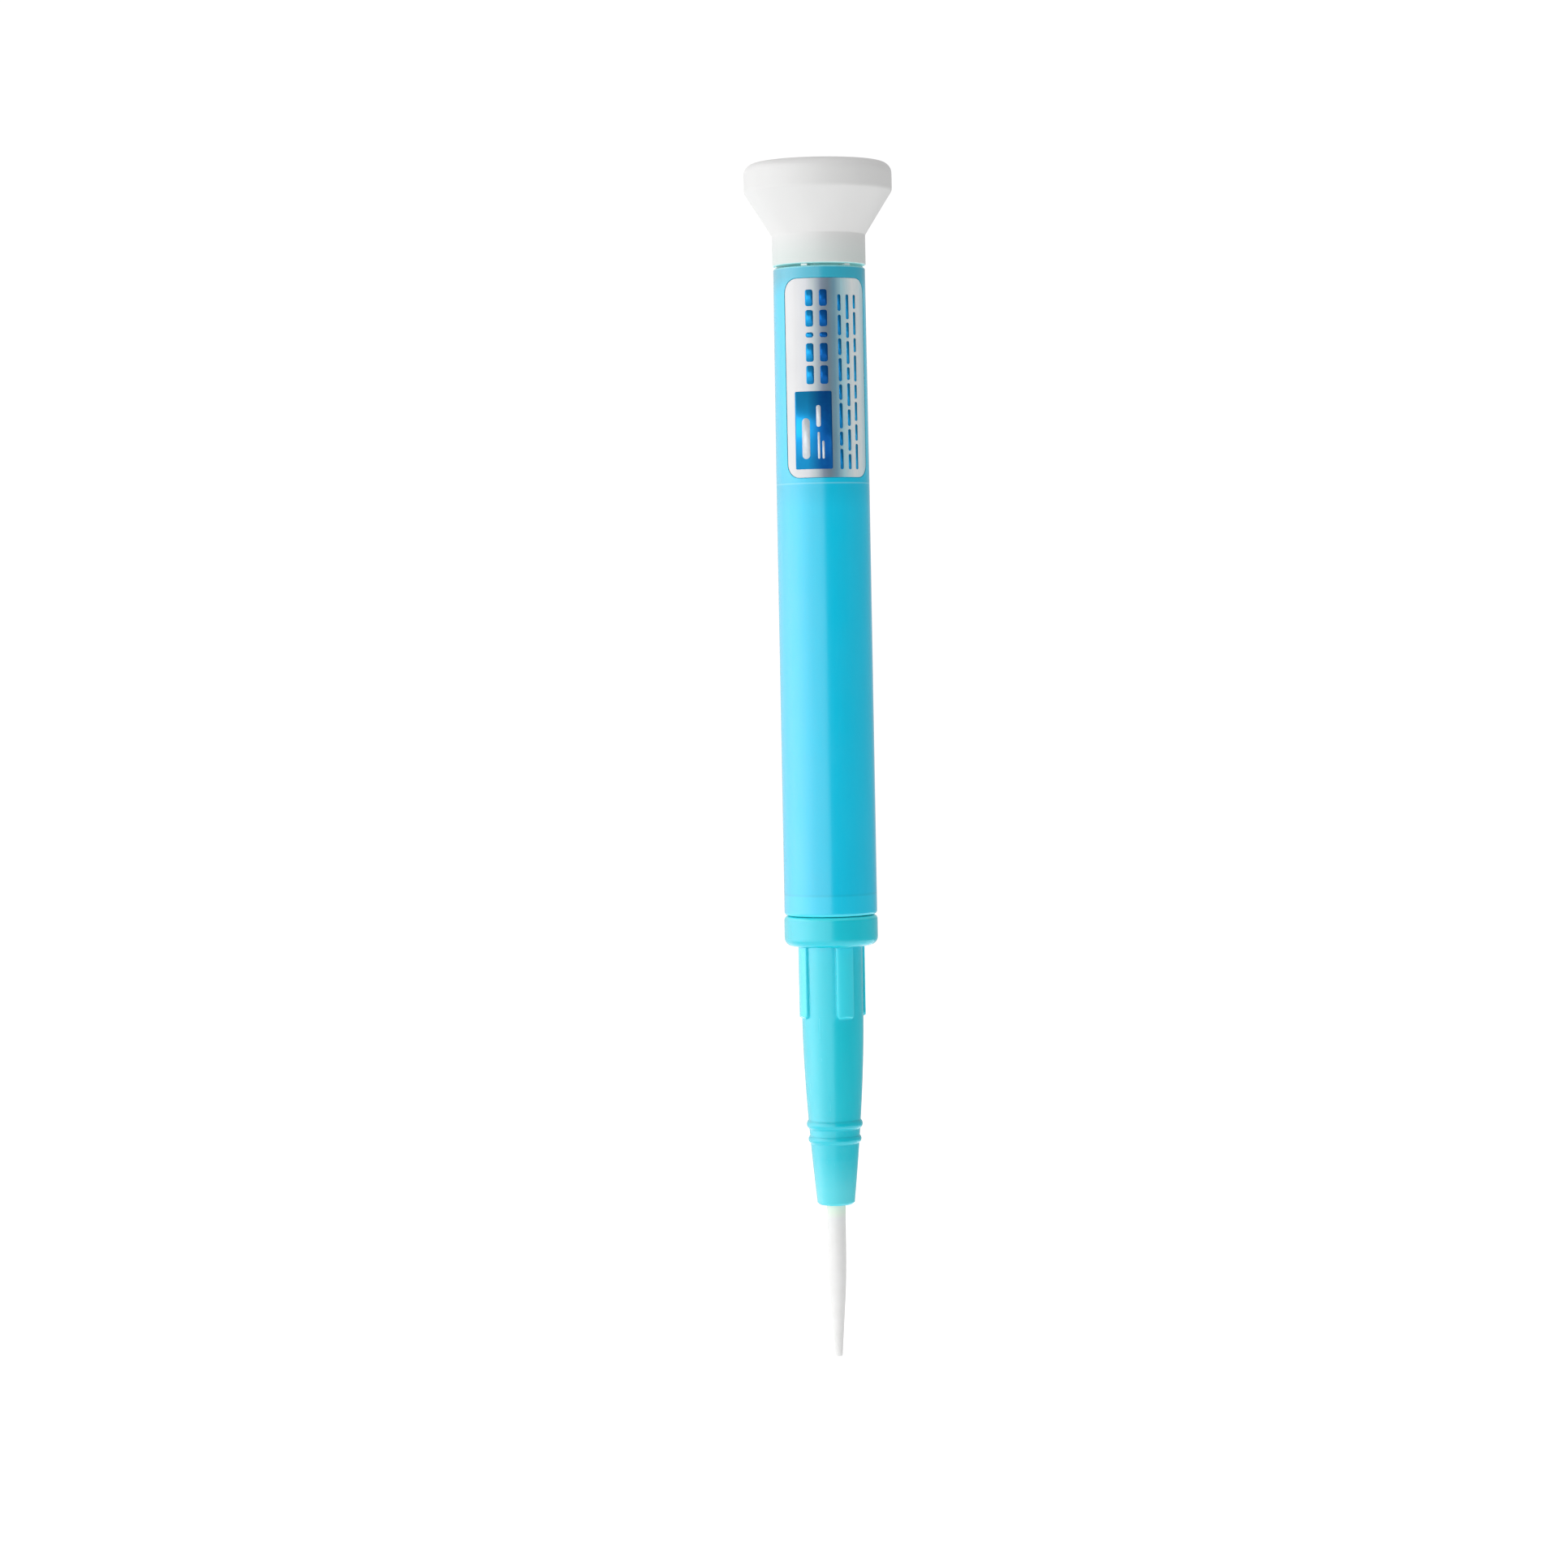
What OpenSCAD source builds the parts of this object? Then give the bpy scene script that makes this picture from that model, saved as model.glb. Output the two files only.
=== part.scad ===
// Desoldering pump: a spring-driven piston in a thin blue barrel, cocked by the knob and let go by a
// push button on the back. All sizes are in millimetres. +Z runs along the pump from the mouth of the
// nozzle, at z = 0, up to the knob. The label faces -Y and the release button faces +Y. The pump is
// drawn cocked: the piston is down, its spring is squeezed, and the latch wire holds the rod.

/* [Barrel] */
// Outer diameter of the barrel
barrel_d = 14.8; // [14.7:0.05:15.2]
// Length of the barrel tube
barrel_l = 102.5; // [102.5:0.5:112]
// Diameter of the barrel at its top rim, where the mould's draft makes it narrower
barrel_top_d = 14.56; // [14.5:0.02:14.7]
// Diameter of the bore that the piston runs in
bore_d = 12; // [11.9:0.05:12.1]

/* [Knob] */
// Height of the knob
knob_h = 16.2; // [15.5:0.1:18]
// Diameter of the knob's rim
knob_d = 23.5; // [21:0.1:26]
// Diameter of the knob's neck
neck_d = 14.8; // [14:0.1:15]
// Height of the neck
neck_h = 4.8; // [4:0.1:6]
// Gap between the cocked knob and the barrel
knob_gap = 0.4; // [0.4:0.05:1]

/* [Nose] */
// Length of the nose from its mouth to the top of its collar
nose_l = 46.3; // [44:0.1:50]
// Diameter of the collar
collar_d = 14.9; // [14.2:0.1:15.6]
// Height of the collar
collar_h = 4.8; // [4:0.1:6]
// Diameter of the nose just below the collar
nose_d = 9.9; // [9.8:0.05:10.2]
// Outer diameter across the grip ribs
rib_d = 11; // [10.7:0.05:11.2]
// Width of each grip rib
rib_w = 2.9; // [2:0.1:4]
// How far the ribs are turned from the label's centre line, in degrees
rib_turn = 14; // [0:1:45]

/* [Nozzle] */
// Length of nozzle that stands out of the nose
nozzle_reach = 24.5; // [23:0.5:30]
// Diameter of the nozzle at the mouth of the nose
nozzle_d = 3; // [2.8:0.05:3.1]
// Outer diameter of the nozzle's tip
tip_d = 1.2; // [1.1:0.05:1.6]
// Diameter of the hole in the nozzle's tip
tip_bore_d = 0.8; // [0.6:0.05:0.9]
// Length of the narrow hole in the tip
tip_bore_l = 12; // [8:0.5:14]

/* [Piston and spring] */
// Travel of the piston and knob
stroke = 50; // [40:1:50]
// Height of the piston
piston_h = 8; // [7:0.5:10]
// Diameter of the rod
rod_d = 4; // [3.9:0.05:4.1]
// Wire diameter of the main spring
spring_wire = 0.8; // [0.6:0.05:0.85]
// Number of turns of the main spring
spring_turns = 14; // [10:1:14]
// Length of the main spring while the pump is cocked
spring_cocked = 15.6; // [15.4:0.1:17]

/* [Latch and button] */
// Diameter of the release button
button_d = 6; // [5.5:0.1:6.2]
// How far the button stands out of the barrel
button_proud = 1.8; // [1.6:0.1:2.5]
// Travel of the button
button_travel = 1.5; // [1.2:0.1:1.5]
// Wire diameter of the latch spring
latch_wire = 0.6; // [0.5:0.05:0.6]
// Distance from the barrel's top rim down to the latch
latch_depth = 13.4; // [12.5:0.1:13.5]

/* [Label] */
// Height of the label
label_h = 31.2; // [24:0.1:32]
// Angle that the label covers round the barrel, in degrees
label_angle = 114; // [90:1:130]
// Radius of the label's corners
label_corner = 2.3; // [1:0.1:3]
// Thickness of the label foil
label_t = 0.1; // [0.05:0.01:0.15]

/* [Hidden] */
$fn = 96;

barrel_blue = "#5fd3f2";
nose_blue = "#58d5e6";
knob_white = "#ececec";
ptfe_white = "#f4f4f0";
cap_white = "#e6e8e6";
foil_silver = "#c9ced2";
rubber_black = "#2a2a2c";
silicone_red = "#b04a3a";
steel = "#b9bdc2";

running_gap = 0.05;
rest_gap = 0.02;
lead_in = 0.2;
edge_r = 0.3;
foot_edge_r = 0.55;

barrel_r = barrel_d / 2;
barrel_top_r = barrel_top_d / 2;
bore_r = bore_d / 2;
cap_seat_r = bore_r + 0.25;
ledge_r = 4.2;
ledge_t = 1;
socket_r = bore_r;
socket_depth = 3.5;
seat_gap = 0.1;

nose_mouth_z = nozzle_reach;
collar_top = nose_mouth_z + nose_l;
collar_z = collar_top - collar_h;
barrel_z = collar_top + seat_gap;
barrel_top = barrel_z + barrel_l;
ledge_z = barrel_z + socket_depth;
ledge_top = ledge_z + ledge_t;
snap_wire_r = 0.48;
snap_r = cap_seat_r - 0.3;
snap_z = barrel_top - 3.4;

knob_z = barrel_top + knob_gap;
knob_top = knob_z + knob_h;
knob_rim_z = knob_z + 11.7;
rod_top = knob_z + 12;

label_top = barrel_top - 2;
label_z = label_top - label_h;
label_inset = label_t + rest_gap;
label_gap = 0.1;
// the barrel is a true cylinder up to here, and narrows evenly from here to its rim
taper_z = label_z - 0.7;
taper = (barrel_r - barrel_top_r) / (barrel_top - taper_z);

rod_r = rod_d / 2;
spigot_r = 1.5;
thread_r = 1;
washer_t = 0.4;
piston_r = bore_r - 0.12;
boss_r = 4.2;
boss_h = 2;
spring_z = ledge_top + washer_t;
piston_z = spring_z + spring_cocked;
piston_top = piston_z + piston_h;
spring_r = boss_r + 0.3 + spring_wire / 2;
ring_wire_r = 0.55;
ring_groove_r = 4.85;
ring_groove_w = 1.4;

bumper_z = piston_top + stroke;
bumper_t = 1.5;
bush_z = bumper_z + bumper_t;
bush_r = cap_seat_r - rest_gap;
rod_bore_r = rod_r + running_gap;

latch_z = barrel_top - latch_depth;
latch_r = latch_wire / 2;
leg_x = 1.5;
bend_y = -3.3;
post_r = 1;
chamber_r = 5.2;
chamber_h = 0.8;
cap_z = latch_z + latch_r + running_gap;
chamber_z = cap_z - chamber_h;
rod_groove_r = leg_x - latch_r - running_gap;
rod_groove_h = latch_wire + 0.2;

button_r = button_d / 2;
button_out = barrel_top_r + button_proud;
wedge_tip_y = rod_r + button_travel + 0.1;
wedge_root_y = wedge_tip_y + button_travel;
leg_end_y = wedge_tip_y + running_gap;
flange_x = 2;
flange_z = 4.2;
flange_t = 0.5;
pocket_y = wedge_root_y - button_travel - 0.3;
pocket_gap = 0.2;

nozzle_r = nozzle_d / 2;
shoulder_r = 2.15;
shoulder_depth = 5.5;
shoulder_z = nose_mouth_z + shoulder_depth;
shoulder_gap = 0.05;
shoulder_h = 2.2;
seal_h = 0.7;
retainer_h = 2;
seal_z = shoulder_z + shoulder_h;
retainer_z = seal_z + seal_h;
retainer_top = retainer_z + retainer_h;
duct_r = 0.9;

// the nose curves in from here down to its mouth
nose_bend_z = nose_mouth_z + 29.5;
nose_upper_r = nose_d / 2;
nose_draft = 0.004;
nose_curve = 0.0086;
nose_curve_power = 1.6;
chamber_top_r = 3.7;
// the two beads: height above the mouth, how proud they stand and how wide they are
beads = [[10.5, 0.3, 1.2], [12.9, 0.35, 1.4]];
rib_z = nose_mouth_z + 29.9;
rib_crown_r = 3;
rib_slope = 0.8;

spigot_out_r = bore_r - 0.06;
spigot_top = ledge_z - 0.2;
nose_ring_wire_r = 0.42;
nose_ring_z = (barrel_z + spigot_top) / 2;
nose_groove_w = 1.1;
nose_groove_r = bore_r - rest_gap - 2 * nose_ring_wire_r - 0.04;

function arc(x, y, r, from, to, n = 6) =
  [for (i = [0:n]) let (a = from + (to - from) * i / n) [x + r * cos(a), y + r * sin(a)]];

function barrel_r_at(z) = barrel_r - taper * (z - taper_z);

// ---- shared shapes ----

module ring(r_in, r_out, z, h) {
  translate([0, 0, z])
    difference() {
      cylinder(r = r_out, h = h);
      translate([0, 0, -1]) cylinder(r = r_in, h = h + 2);
    }
}

module torus(centre_r, wire_r, z) {
  rotate_extrude() translate([centre_r, z]) circle(r = wire_r, $fn = 48);
}

module along_y(y, z) {
  translate([0, y, z]) rotate([-90, 0, 0]) children();
}

// A shell that follows the tapered top of the barrel, between two depths below its surface
module barrel_skin(deep, shallow) {
  low = label_z - 1;
  high = label_top + 0.8;
  rotate_extrude()
    polygon([
      [barrel_r_at(low) - deep, low],
      [barrel_r_at(low) - shallow, low],
      [barrel_r_at(high) - shallow, high],
      [barrel_r_at(high) - deep, high]
    ]);
}

// The label's rounded outline, laid round the barrel and pushed straight through its front wall
module label_outline(grow) {
  half = barrel_r * label_angle / 2 * PI / 180 + grow;
  r = label_corner + grow;
  low = label_z - grow + r;
  high = label_top + grow - r;
  flat = concat(
    arc(half - r, high, r, 0, 90, 8), arc(r - half, high, r, 90, 180, 8),
    arc(r - half, low, r, 180, 270, 8), arc(half - r, low, r, 270, 360, 8));
  rotate([90, 0, 0])
    linear_extrude(height = barrel_r + 1)
      polygon([for (p = flat) [barrel_r * sin(p[0] / barrel_r * 180 / PI), p[1]]]);
}

// Three grooves down the outside of the parts above the piston, which let its air out
module vent_grooves() {
  depth = 0.8;
  width = 1.4;
  for (a = [30:120:270])
    rotate(a) translate([bush_r, 0, (bumper_z + barrel_top) / 2])
      cube([2 * depth, width, barrel_top - bumper_z + 2], center = true);
}

// The space that the button and its flange need, with the button pressed
module button_pocket() {
  along_y(pocket_y, latch_z) cylinder(r = button_r + pocket_gap, h = bore_r);
  translate([-flange_x - pocket_gap, pocket_y, latch_z - flange_z - pocket_gap])
    cube([2 * (flange_x + pocket_gap), bore_r, 2 * (flange_z + pocket_gap)]);
}

// ---- barrel and what is fixed in it ----

module barrel() {
  color(barrel_blue)
    difference() {
      rotate_extrude()
        polygon(concat(
          [[socket_r, ledge_z], [socket_r, barrel_z + lead_in], [socket_r + lead_in, barrel_z]],
          arc(barrel_r - foot_edge_r, barrel_z + foot_edge_r, foot_edge_r, -90, 0),
          [[barrel_r, taper_z]],
          arc(barrel_top_r - edge_r, barrel_top - edge_r, edge_r, 0, 90),
          [[cap_seat_r + lead_in, barrel_top], [cap_seat_r, barrel_top - lead_in]],
          [[cap_seat_r, bumper_z], [bore_r, bumper_z], [bore_r, ledge_top]],
          [[ledge_r, ledge_top], [ledge_r, ledge_z]]));
      along_y(barrel_r / 2, latch_z) cylinder(r = button_r + running_gap, h = barrel_r);
      torus(snap_r, snap_wire_r + running_gap, snap_z);
      intersection() {
        label_outline(label_gap);
        barrel_skin(label_inset, -1);
      }
    }
}

module label() {
  color(foil_silver)
    intersection() {
      label_outline(0);
      barrel_skin(label_inset, label_inset - label_t);
    }
}

// A small tab that is rooted in the cap and hooks over the barrel's rim
module end_cap_tab() {
  tab_w = 1;
  root = 0.5;
  inner = bush_r - 0.9;
  outer = barrel_top_r - edge_r - 0.05;
  tip_z = knob_z - running_gap;
  translate([0, tab_w / 2, 0]) rotate([90, 0, 0])
    linear_extrude(height = tab_w)
      polygon([
        [inner, barrel_top - root], [bush_r - 0.05, barrel_top - root], [bush_r - 0.05, barrel_top],
        [outer, barrel_top], [outer, tip_z], [inner, tip_z]
      ]);
}

module end_cap() {
  dish_r = 5.2;
  dish_depth = 1.2;
  collar_r = 3.1;
  color(cap_white)
    difference() {
      union() {
        translate([0, 0, cap_z]) cylinder(r = bush_r, h = barrel_top - cap_z);
        torus(snap_r, snap_wire_r, snap_z);
        for (a = [0:60:300])
          rotate(a) end_cap_tab();
      }
      translate([0, 0, cap_z - 1]) cylinder(r = rod_bore_r, h = barrel_top - cap_z + 2);
      ring(collar_r, dish_r, barrel_top - dish_depth, dish_depth + 1);
      vent_grooves();
      button_pocket();
    }
}

module guide_bush() {
  color(cap_white) {
    difference() {
      translate([0, 0, bush_z]) cylinder(r = bush_r, h = cap_z - bush_z);
      translate([0, 0, bush_z - 1]) cylinder(r = rod_bore_r, h = cap_z - bush_z + 2);
      difference() {
        translate([0, 0, chamber_z]) cylinder(r = chamber_r, h = chamber_h + 1);
        translate([0, bend_y, chamber_z - 1]) cylinder(r = post_r, h = chamber_h + 3);
      }
      vent_grooves();
      button_pocket();
    }
  }
}

module bumper() {
  color(rubber_black)
    difference() {
      ring(rod_r + 0.5, bush_r, bumper_z, bumper_t);
      vent_grooves();
    }
}

// A hairpin of spring wire. Its two legs lie in the groove of the rod, one on each side.
module latch_spring() {
  color(steel)
    translate([0, 0, latch_z]) {
      for (side = [-1, 1])
        translate([side * leg_x, bend_y, 0]) rotate([-90, 0, 0])
          cylinder(r = latch_r, h = leg_end_y - bend_y, $fn = 32);
      translate([0, bend_y, 0]) rotate(180)
        rotate_extrude(angle = 180) translate([leg_x, 0]) circle(r = latch_r, $fn = 32);
    }
}

module spring_washer() {
  color(steel) ring(ledge_r + 0.1, bore_r - 0.2, ledge_top, washer_t);
}

// Height of the wire's centre after a number of turns: the first and last turns are closed
function coil_z(turn, turns, wire, length) =
  let (end = wire + 0.02, pitch = (length - wire - 2 * end) / (turns - 2))
  wire / 2 + min(turn, 1) * end + max(0, min(turn - 1, turns - 2)) * pitch
    + max(0, turn - turns + 1) * end;

module coil_spring(r, wire, z, length, turns, steps = 18, sides = 8) {
  rings = turns * steps;
  points = [for (i = [0:rings], j = [0:sides - 1])
    let (a = 360 * i / steps, b = 360 * j / sides, out = r + wire / 2 * cos(b))
    [out * cos(a), out * sin(a), z + coil_z(i / steps, turns, wire, length) + wire / 2 * sin(b)]];
  walls = [for (i = [0:rings - 1], j = [0:sides - 1])
    let (k = (j + 1) % sides, low = i * sides, high = low + sides)
    [low + j, low + k, high + k, high + j]];
  ends = [[for (j = [sides - 1:-1:0]) j], [for (j = [0:sides - 1]) rings * sides + j]];
  polyhedron(points = points, faces = concat(walls, ends));
}

module main_spring() {
  color(steel)
    coil_spring(spring_r, spring_wire, spring_z + rest_gap, spring_cocked - 2 * rest_gap,
      spring_turns);
}

// ---- plunger ----

module knob() {
  rim_r = knob_d / 2;
  neck_r = neck_d / 2;
  neck_top = knob_z + neck_h;
  crown_r = 1.8;
  rim_edge_r = 1.1;
  throat_r = 0.4;
  rod_fit_r = rod_r + 0.01;
  bore_top = rod_top + 0.2;
  lean = atan((rim_r - neck_r) / (knob_rim_z - neck_top));
  color(knob_white)
    rotate_extrude()
      polygon(concat(
        [[0, knob_top], [0, bore_top], [rod_fit_r, bore_top], [rod_fit_r, knob_z + lead_in]],
        [[rod_fit_r + lead_in, knob_z]],
        arc(neck_r - lead_in, knob_z + lead_in, lead_in, -90, 0),
        arc(neck_r + throat_r, neck_top - throat_r * tan(lean / 2), throat_r, 180, 180 - lean),
        arc(rim_r - rim_edge_r, knob_rim_z + rim_edge_r * tan(lean / 2), rim_edge_r, -lean, 0),
        arc(rim_r - crown_r, knob_top - crown_r, crown_r, 0, 90, 9)));
}

module plunger_rod() {
  groove_z = latch_z - latch_r - running_gap;
  spigot_z = piston_z - boss_h + 0.3;
  thread_l = 6.5;
  color(steel)
    difference() {
      union() {
        translate([0, 0, piston_top]) cylinder(r = rod_r, h = groove_z - piston_top);
        translate([0, 0, groove_z]) cylinder(r = rod_groove_r, h = rod_groove_h);
        translate([0, 0, groove_z + rod_groove_h])
          cylinder(r = rod_r, h = rod_top - groove_z - rod_groove_h);
        translate([0, 0, spigot_z]) cylinder(r = spigot_r, h = piston_top - spigot_z);
      }
      translate([0, 0, spigot_z - 1]) cylinder(r = thread_r, h = thread_l + 1);
    }
}

module piston() {
  chamfer = 0.4;
  groove_z = piston_z + piston_h / 2 - ring_groove_w / 2;
  color(cap_white)
    difference() {
      rotate_extrude()
        polygon([
          [spigot_r + 0.01, piston_z - boss_h], [boss_r - chamfer, piston_z - boss_h],
          [boss_r, piston_z - boss_h + chamfer], [boss_r, piston_z],
          [piston_r - chamfer, piston_z], [piston_r, piston_z + chamfer],
          [piston_r, piston_top - chamfer], [piston_r - chamfer, piston_top],
          [spigot_r + 0.01, piston_top]
        ]);
      ring(ring_groove_r, bore_r + 1, groove_z, ring_groove_w);
    }
}

module piston_oring() {
  color(rubber_black)
    torus(bore_r - rest_gap - ring_wire_r, ring_wire_r, piston_z + piston_h / 2);
}

module piston_washer() {
  color(steel) ring(thread_r + 0.1, 3, piston_z - boss_h - 0.5, 0.5);
}

module piston_screw() {
  head_top = piston_z - boss_h - 0.5;
  head_h = 1.4;
  head_r = 1.9;
  head_edge_r = 0.5;
  shank_l = 6;
  slot_w = 0.5;
  slot_depth = 0.7;
  color(steel)
    difference() {
      union() {
        translate([0, 0, head_top]) cylinder(r = thread_r - rest_gap, h = shank_l);
        rotate_extrude()
          polygon(concat(
            [[0, head_top], [0, head_top - head_h]],
            arc(head_r - head_edge_r, head_top - head_h + head_edge_r, head_edge_r, -90, 0),
            [[head_r, head_top]]));
      }
      for (a = [0, 90])
        rotate(a) translate([0, 0, head_top - head_h])
          cube([1.25 * head_r, slot_w, 2 * slot_depth], center = true);
    }
}

// ---- release ----

// The button drives a flat wedge between the legs of the latch spring. Its flange keeps it in.
module release_button() {
  crown = 0.5;
  dish_w = 1.1;
  dish_lip = 0.12;
  dish_depth = 0.3;
  tip_x = 1.1;
  heel = 0.5;
  color(cap_white) {
    along_y(0, latch_z)
      rotate_extrude()
        polygon(concat(
          [[0, wedge_root_y], [button_r, wedge_root_y]],
          arc(button_r - crown, button_out - crown, crown, 0, 90),
          [[button_r - dish_w, button_out - dish_lip], [0, button_out - dish_depth]]));
    translate([-flange_x, wedge_root_y, latch_z - flange_z])
      cube([2 * flange_x, flange_t, 2 * flange_z]);
    translate([0, 0, chamber_z + running_gap])
      linear_extrude(height = chamber_h - 2 * running_gap)
        polygon([
          [-tip_x, wedge_tip_y], [tip_x, wedge_tip_y],
          [button_r, wedge_root_y], [button_r - heel, wedge_root_y + flange_t],
          [heel - button_r, wedge_root_y + flange_t], [-button_r, wedge_root_y]
        ]);
  }
}

// ---- nose ----

// Outer radius of the nose: almost straight at the top, and curving in to the mouth
function nose_r_at(z) =
  z >= nose_bend_z ? nose_upper_r - nose_draft * (collar_z - z)
    : nose_upper_r - nose_draft * (collar_z - nose_bend_z)
      - nose_curve * pow(nose_bend_z - z, nose_curve_power);

// A raised bead round the nose: how proud it stands and how wide it is give its own radius
module bead(z, proud, width) {
  r = (width * width / 4 + proud * proud) / (2 * proud);
  torus(nose_r_at(z) + proud - r, r, z);
}

// A grip rib with a rounded crown. Its lower end has round corners and slopes down to the nose.
module rib() {
  half = rib_w / 2;
  corner_r = 0.8;
  root_y = chamber_top_r + 0.3;
  top_z = collar_z + 0.5;
  foot_y = nose_r_at(rib_z) - 0.05;
  past_y = rib_d / 2 + 0.5;
  intersection() {
    translate([0, rib_crown_r - rib_d / 2, rib_z - 1]) cylinder(r = rib_crown_r, h = top_z - rib_z + 1);
    translate([0, -root_y, 0]) rotate([90, 0, 0])
      linear_extrude(height = past_y)
        polygon(concat(
          arc(half - corner_r, rib_z + corner_r, corner_r, -90, 0),
          [[half, top_z], [-half, top_z]],
          arc(corner_r - half, rib_z + corner_r, corner_r, 180, 270)));
    rotate([90, 0, 90])
      linear_extrude(height = 2 * rib_w, center = true)
        polygon([
          [-root_y, rib_z], [-foot_y, rib_z], [-past_y, rib_z + rib_slope * (past_y - foot_y)],
          [-past_y, top_z], [-root_y, top_z]
        ]);
  }
}

module nose() {
  collar_r = collar_d / 2;
  collar_foot_r = 1.3;
  collar_edge_r = 0.7;
  mouth_edge_r = 0.3;
  start_z = nose_mouth_z + mouth_edge_r;
  steps = 16;
  curve = [for (i = [0:steps])
    let (z = start_z + i / steps * (nose_bend_z - start_z)) [nose_r_at(z), z]];
  color(nose_blue)
    difference() {
      union() {
        rotate_extrude()
          polygon(concat(
            [[nozzle_r + rest_gap, nose_mouth_z]],
            [[nose_r_at(start_z) - mouth_edge_r, nose_mouth_z]],
            curve,
            [[nose_upper_r, collar_z]],
            arc(collar_r - collar_foot_r, collar_z + collar_foot_r, collar_foot_r, -90, 0),
            arc(collar_r - collar_edge_r, collar_top - collar_edge_r, collar_edge_r, 0, 90),
            [[spigot_out_r, collar_top], [spigot_out_r, spigot_top - lead_in]],
            [[spigot_out_r - lead_in, spigot_top], [ledge_r, spigot_top]],
            [[ledge_r, collar_top - 2], [chamber_top_r, collar_z - 2]],
            [[chamber_top_r, nose_bend_z], [shoulder_r + 0.35, retainer_top]],
            [[shoulder_r + shoulder_gap, retainer_top], [shoulder_r + shoulder_gap, shoulder_z]],
            [[nozzle_r + rest_gap, shoulder_z]]));
        for (b = beads)
          bead(nose_mouth_z + b[0], b[1], b[2]);
        for (a = [0:90:270])
          rotate(a + rib_turn) rib();
      }
      ring(nose_groove_r, spigot_out_r + 1, nose_ring_z - nose_groove_w / 2, nose_groove_w);
    }
}

module nose_oring() {
  color(rubber_black)
    torus(bore_r - rest_gap - nose_ring_wire_r, nose_ring_wire_r, nose_ring_z);
}

// Quadratic curve through a start and an end, drawn towards a corner between them
function bend(a, b, c, n = 8) =
  [for (i = [0:n]) let (t = i / n) (1 - t) * (1 - t) * a + 2 * t * (1 - t) * b + t * t * c];

module nozzle() {
  tip_r = tip_d / 2;
  bore = tip_bore_d / 2;
  body_r = nozzle_r - 0.05;
  taper_l = 12.8;
  slope = (body_r - tip_r) / taper_l;
  color(ptfe_white)
    rotate_extrude()
      polygon(concat(
        [[bore, 0], [tip_r - 0.08, 0], [tip_r, 0.12]],
        bend([tip_r + slope * 9, 9], [body_r, taper_l], [body_r + 0.01, taper_l + 4]),
        [[nozzle_r, nose_mouth_z], [nozzle_r, shoulder_z], [shoulder_r, shoulder_z]],
        [[shoulder_r, shoulder_z + shoulder_h], [duct_r, shoulder_z + shoulder_h]],
        [[duct_r, tip_bore_l + 0.8], [bore, tip_bore_l]]));
}

module nozzle_seal() {
  color(silicone_red) ring(duct_r + 0.2, shoulder_r, seal_z, seal_h);
}

module nozzle_retainer() {
  color(steel) ring(duct_r + 0.3, shoulder_r + 0.04, retainer_z, retainer_h);
}

barrel();
label();
end_cap();
guide_bush();
bumper();
latch_spring();
main_spring();
spring_washer();
knob();
plunger_rod();
piston();
piston_oring();
piston_washer();
piston_screw();
release_button();
nose();
nose_oring();
nozzle();
nozzle_seal();
nozzle_retainer();
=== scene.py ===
"""Looks for the desoldering pump: materials, label printing, a main spring as a wire coil, light and camera.

Tones that the photograph's lighting gives are partly held in base colours here: the bands by height, the
lighter ribs, and the label's colours by angle. They are fixed to the pump, not to the camera."""

import math

import bmesh
import bpy
from mathutils import Matrix, Vector

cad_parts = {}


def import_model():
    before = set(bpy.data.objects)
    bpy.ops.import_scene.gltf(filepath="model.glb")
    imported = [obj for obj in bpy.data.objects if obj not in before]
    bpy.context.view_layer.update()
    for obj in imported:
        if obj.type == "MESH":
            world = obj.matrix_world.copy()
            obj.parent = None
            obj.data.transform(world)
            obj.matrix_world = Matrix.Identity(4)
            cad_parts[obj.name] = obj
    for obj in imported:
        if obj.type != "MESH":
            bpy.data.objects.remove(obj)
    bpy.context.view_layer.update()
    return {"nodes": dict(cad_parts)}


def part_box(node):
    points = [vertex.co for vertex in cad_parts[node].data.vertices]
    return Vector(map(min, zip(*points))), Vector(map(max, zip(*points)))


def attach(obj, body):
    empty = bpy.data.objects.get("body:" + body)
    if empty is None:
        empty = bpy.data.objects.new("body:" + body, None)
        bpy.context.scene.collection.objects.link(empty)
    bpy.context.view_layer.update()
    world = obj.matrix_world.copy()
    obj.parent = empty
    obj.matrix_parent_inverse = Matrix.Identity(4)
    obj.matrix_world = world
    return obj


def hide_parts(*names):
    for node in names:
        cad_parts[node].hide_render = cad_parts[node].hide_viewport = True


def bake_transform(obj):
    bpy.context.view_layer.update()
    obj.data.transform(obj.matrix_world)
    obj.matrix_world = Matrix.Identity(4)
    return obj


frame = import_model()

MM = 0.001


# ---- node helpers ----


def new_material(name):
    """An empty material with a Principled shader, and its node tree."""
    material = bpy.data.materials.new(name)
    material.use_nodes = True
    tree = material.node_tree
    return material, tree, tree.nodes["Principled BSDF"]


def add(tree, kind, **properties):
    """A node of this kind, with these properties."""
    made = tree.nodes.new(kind)
    for key, value in properties.items():
        setattr(made, key, value)
    return made


def link(tree, source, target):
    tree.links.new(source, target)


def set_inputs(node, values):
    """Sets fixed values on a node's own sockets."""
    for name, value in values.items():
        node.inputs[name].default_value = value


def maths(tree, operation, *values):
    """The output of one Math node. Each value is a number or another node's output."""
    made = add(tree, "ShaderNodeMath", operation=operation)
    for socket, value in zip(made.inputs, values):
        if isinstance(value, (int, float)):
            socket.default_value = value
        else:
            link(tree, value, socket)
    return made.outputs[0]


def place(tree):
    """The point in the object's own frame, which is the CAD frame in metres."""
    return add(tree, "ShaderNodeTexCoord").outputs["Object"]


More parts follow.
